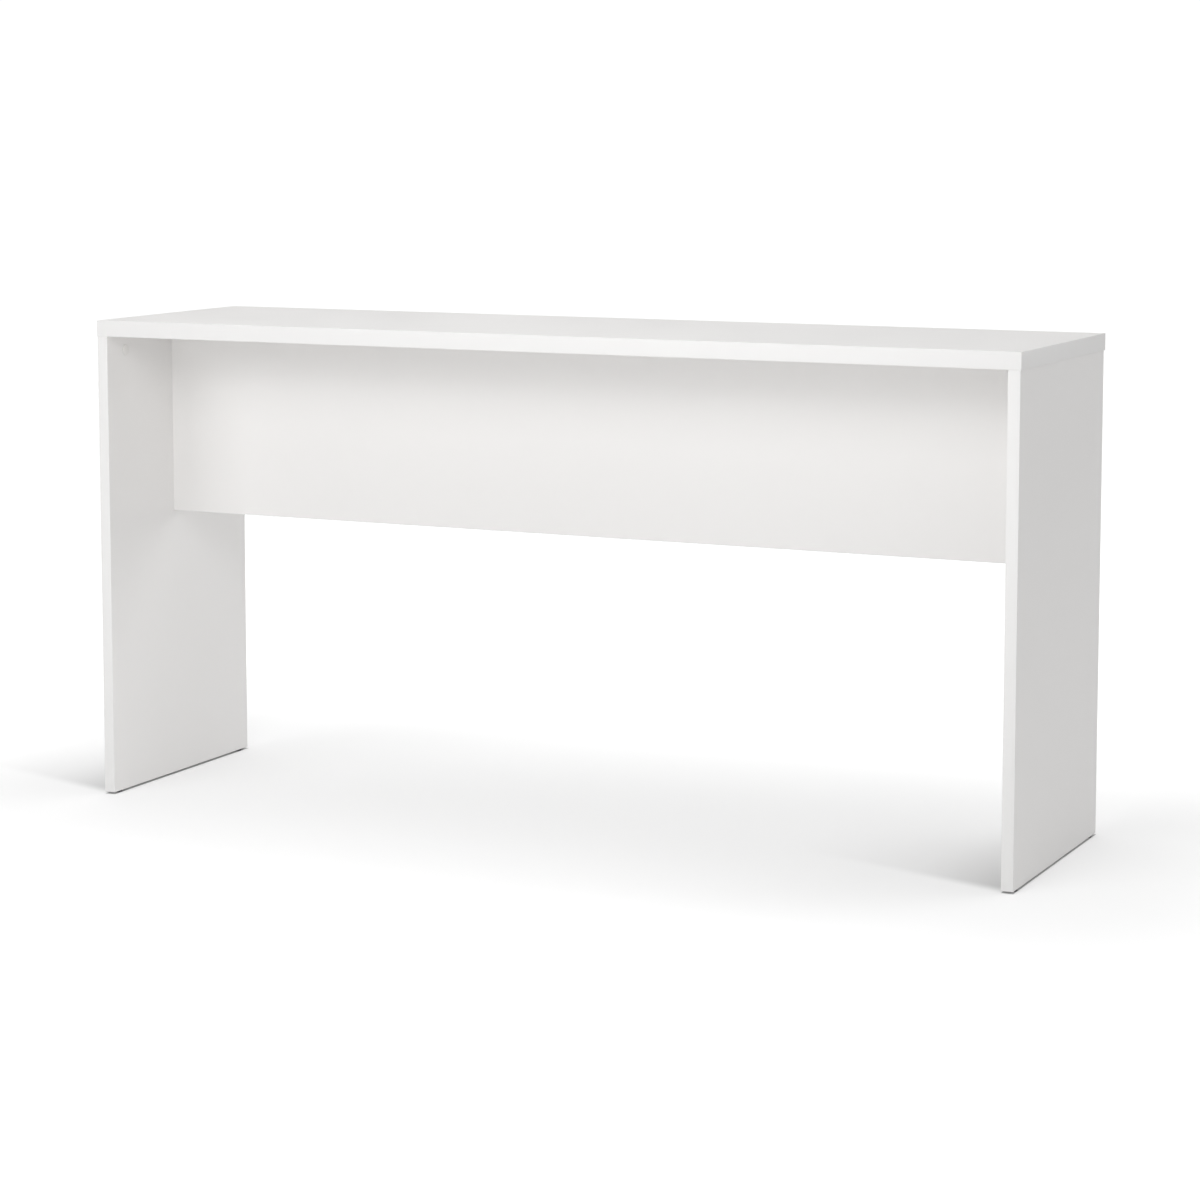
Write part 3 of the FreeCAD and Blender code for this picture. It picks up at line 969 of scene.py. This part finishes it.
class CONSOLE_TABLE_OT_studio(PieceOperator):
    """Set up the floor, the lights and the camera"""

    bl_idname = "console_table.studio"
    bl_label = "Set Up Studio"

    def execute(self, context):
        studio = context.scene.console_table.studio
        self.lay_floor(context, studio)
        self.light_room(context, studio)
        for name, (place, target, size, watts) in SOFTBOXES.items():
            light = bpy.data.lights.new(name, "AREA")
            light.shape = "RECTANGLE"
            light.size, light.size_y = size
            light.energy = watts
            self.hang_light(context, light, Vector(place), Vector(target))
        for name, (source, width, strength) in DISTANT_LIGHTS.items():
            light = bpy.data.lights.new(name, "SUN")
            light.angle = math.radians(width)
            light.energy = strength
            self.hang_light(context, light, Vector(source), Vector())
        self.set_camera(context, studio)
        context.scene.view_settings.view_transform = "Standard"
        return {"FINISHED"}

    def lay_floor(self, context, studio):
        """A level floor for the table to stand on."""
        bm = bmesh.new()
        bmesh.ops.create_grid(bm, x_segments=4, y_segments=4, size=FLOOR_REACH)
        mesh = bpy.data.meshes.new("floor")
        bm.to_mesh(mesh)
        bm.free()
        mesh.materials.append(studio_floor(studio))
        floor = bpy.data.objects.new("floor", mesh)
        context.scene.collection.objects.link(floor)

    def light_room(self, context, studio):
        """Even light from all round, with a pure white background behind the table."""
        world = bpy.data.worlds.new("studio_room")
        world.use_nodes = True
        context.scene.world = world
        tree = world.node_tree
        room = tree.nodes["Background"]
        room.inputs["Color"].default_value = (1, 1, 1, 1)
        room.inputs["Strength"].default_value = studio.room_light
        backdrop = tree.nodes.new("ShaderNodeBackground")
        backdrop.inputs["Color"].default_value = (1, 1, 1, 1)
        backdrop.inputs["Strength"].default_value = BACKDROP_LIGHT
        path = tree.nodes.new("ShaderNodeLightPath")
        mix = tree.nodes.new("ShaderNodeMixShader")
        tree.links.new(path.outputs["Is Camera Ray"], mix.inputs[0])
        tree.links.new(room.outputs[0], mix.inputs[1])
        tree.links.new(backdrop.outputs[0], mix.inputs[2])
        tree.links.new(mix.outputs[0], tree.nodes["World Output"].inputs["Surface"])

    def hang_light(self, context, light, place, target):
        """Hangs a light, which the camera doesn't see, and aims it at a point."""
        lamp = bpy.data.objects.new(light.name, light)
        lamp.location = place
        lamp.rotation_euler = (target - place).to_track_quat("-Z", "Y").to_euler()
        lamp.visible_camera = False
        lamp.visible_glossy = light.name not in UNREFLECTED_LIGHTS
        context.scene.collection.objects.link(lamp)

    def set_camera(self, context, studio):
        """Stands the camera where the settings say."""
        data = bpy.data.cameras.new("camera")
        data.lens = studio.lens
        data.shift_y = studio.rise
        camera = bpy.data.objects.new("camera", data)
        camera.location = studio.camera_place
        camera.rotation_euler = (math.pi / 2 - studio.camera_dip, 0, studio.camera_turn)
        context.scene.collection.objects.link(camera)
        context.scene.camera = camera


OPERATORS = (
    CONSOLE_TABLE_OT_boards,
    CONSOLE_TABLE_OT_edge_bands,
    CONSOLE_TABLE_OT_cover_caps,
    CONSOLE_TABLE_OT_cam_locks,
    CONSOLE_TABLE_OT_bolts,
    CONSOLE_TABLE_OT_dowels,
    CONSOLE_TABLE_OT_glides,
    CONSOLE_TABLE_OT_glide_nails,
    CONSOLE_TABLE_OT_studio,
)


class CONSOLE_TABLE_PT_sidebar(bpy.types.Panel):
    """The table's settings and operators"""

    bl_label = "Console Table"
    bl_space_type = "VIEW_3D"
    bl_region_type = "UI"
    bl_category = "Console Table"

    def draw(self, context):
        layout = self.layout
        for operator in OPERATORS:
            layout.operator(operator.bl_idname)
        settings = context.scene.console_table
        for group in (settings.board, settings.fitting, settings.glide, settings.studio):
            box = layout.box()
            for key in group.__annotations__:
                box.prop(group, key)


CLASSES = (
    BoardSettings,
    FittingSettings,
    GlideSettings,
    StudioSettings,
    TableSettings,
    *OPERATORS,
    CONSOLE_TABLE_PT_sidebar,
)


def register():
    """Adds the table's settings, operators and panel to Blender."""
    for cls in CLASSES:
        bpy.utils.register_class(cls)
    bpy.types.Scene.console_table = PointerProperty(type=TableSettings)


def unregister():
    """Takes them away again."""
    del bpy.types.Scene.console_table
    for cls in reversed(CLASSES):
        bpy.utils.unregister_class(cls)


def main():
    """Builds every piece, then the studio."""
    register()
    for operator in OPERATORS:
        getattr(bpy.ops.console_table, operator.bl_idname.split(".")[1])()


if __name__ == "__main__":
    main()
